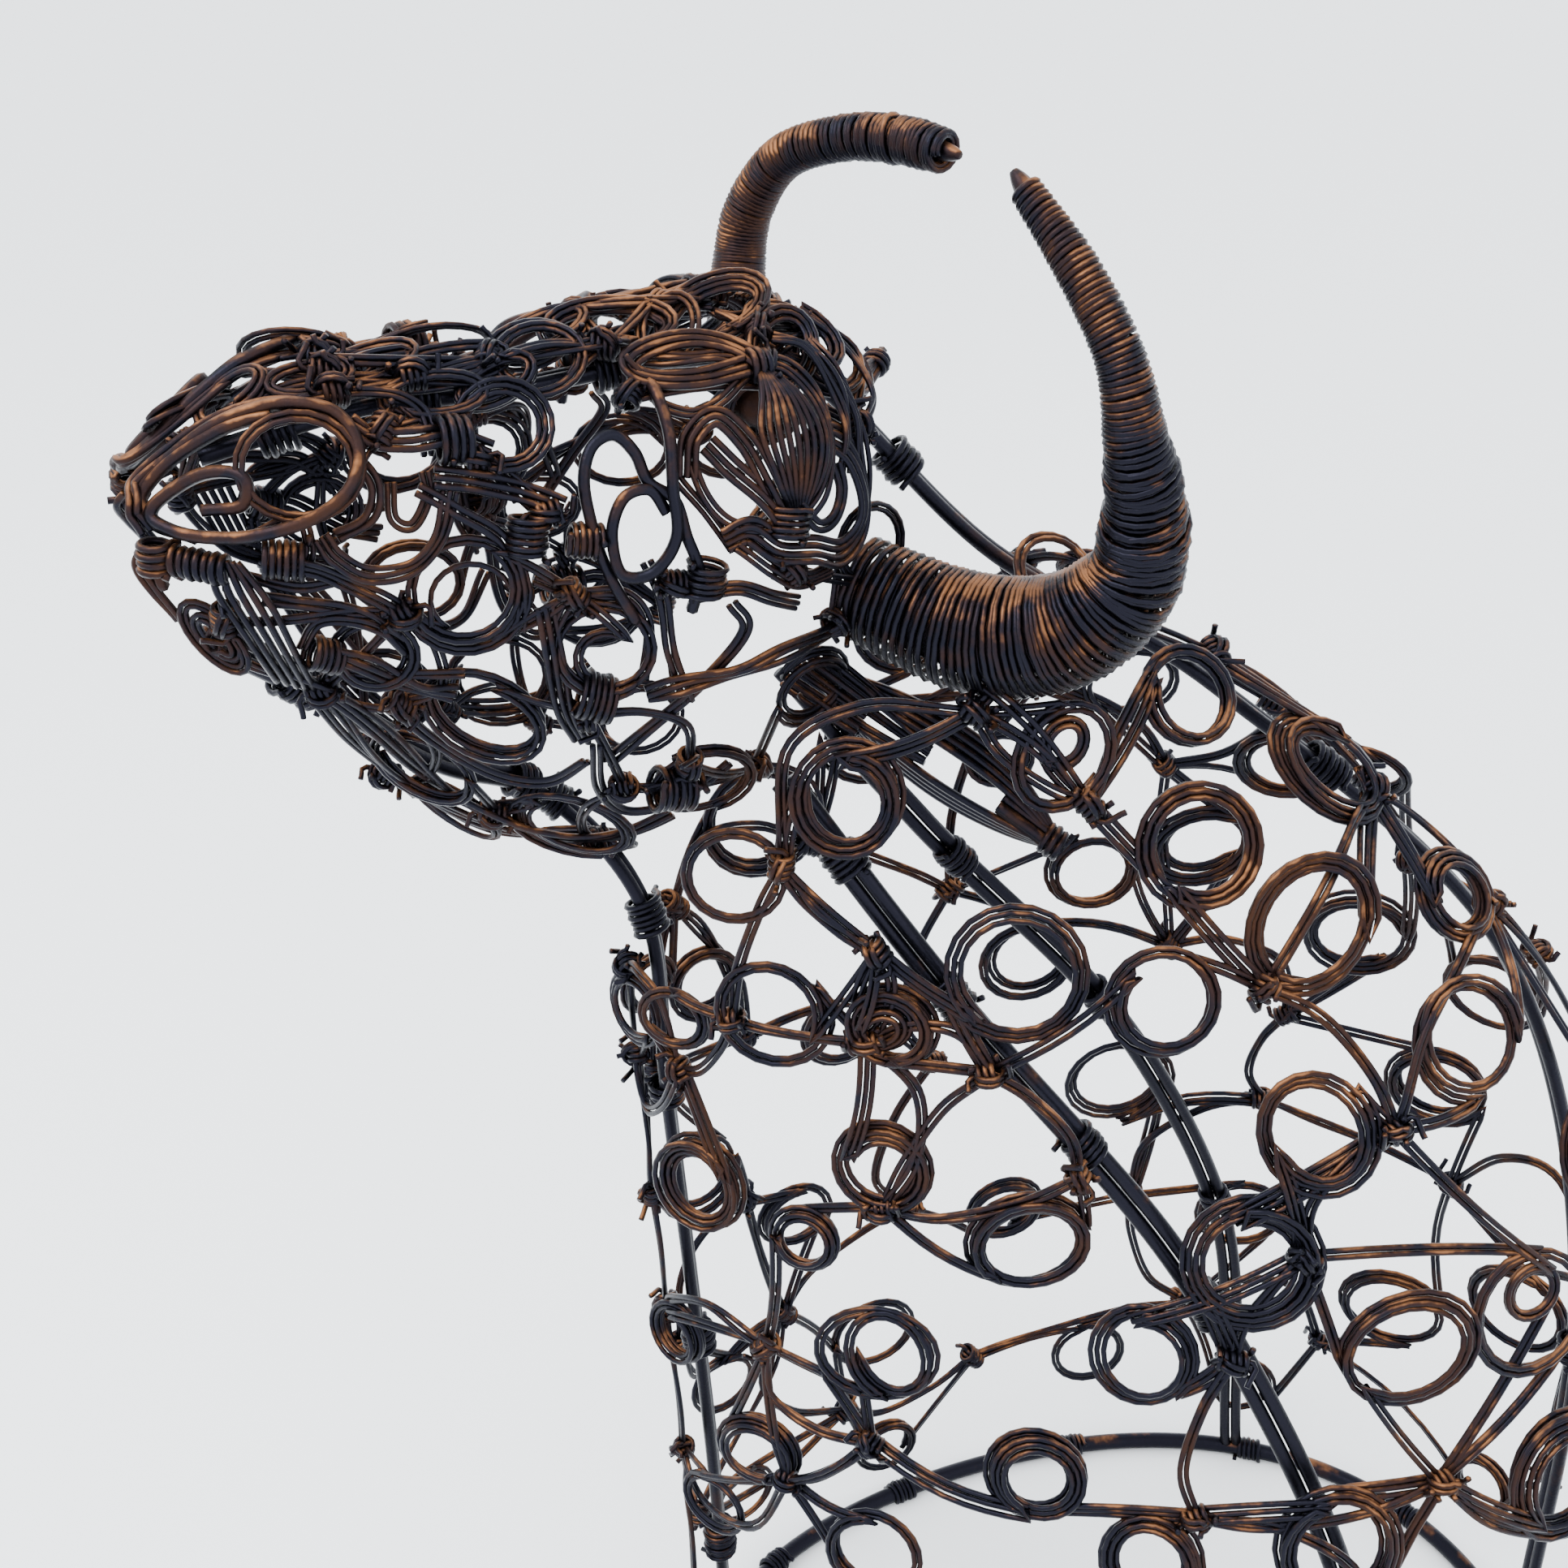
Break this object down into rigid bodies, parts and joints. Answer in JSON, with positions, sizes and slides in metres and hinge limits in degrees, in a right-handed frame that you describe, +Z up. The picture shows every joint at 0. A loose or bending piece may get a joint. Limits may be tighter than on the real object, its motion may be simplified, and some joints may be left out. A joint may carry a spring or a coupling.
{
  "type": "wire sculpture",
  "caption": "Bust of a bull in looped black iron wire, its head turned and its horns wound with fine wire, standing on a plain wire hoop.",
  "frame": {"origin": "centre of the bounding box, on the plane it stands on", "axes": "+Z up, the neck's throat towards -Y, the bull's left side towards +X"},
  "size_m": [0.1834, 0.337, 0.4178],
  "materials": {
    "rod": "blue-black annealed rod, satin",
    "wire": "black annealed iron wire with thin brown rust",
    "horn_wire": "wound iron wire, browner with rust and rubbed bright on top"
  },
  "bodies": {
    "root": {"base_hoop": "rod", "throat_rod": "rod", "spine_rod": "rod", "side_rod_near": "rod", "side_rod_far": "rod", "neck_loops_near": "wire", "neck_loops_far": "wire", "face_loops_near": "wire", "face_loops_far": "wire", "brow_and_nose_loops": "wire", "ear_near": "wire", "ear_far": "wire", "horn_near": "horn_wire", "horn_far": "horn_wire"}
  },
  "joints": []
}
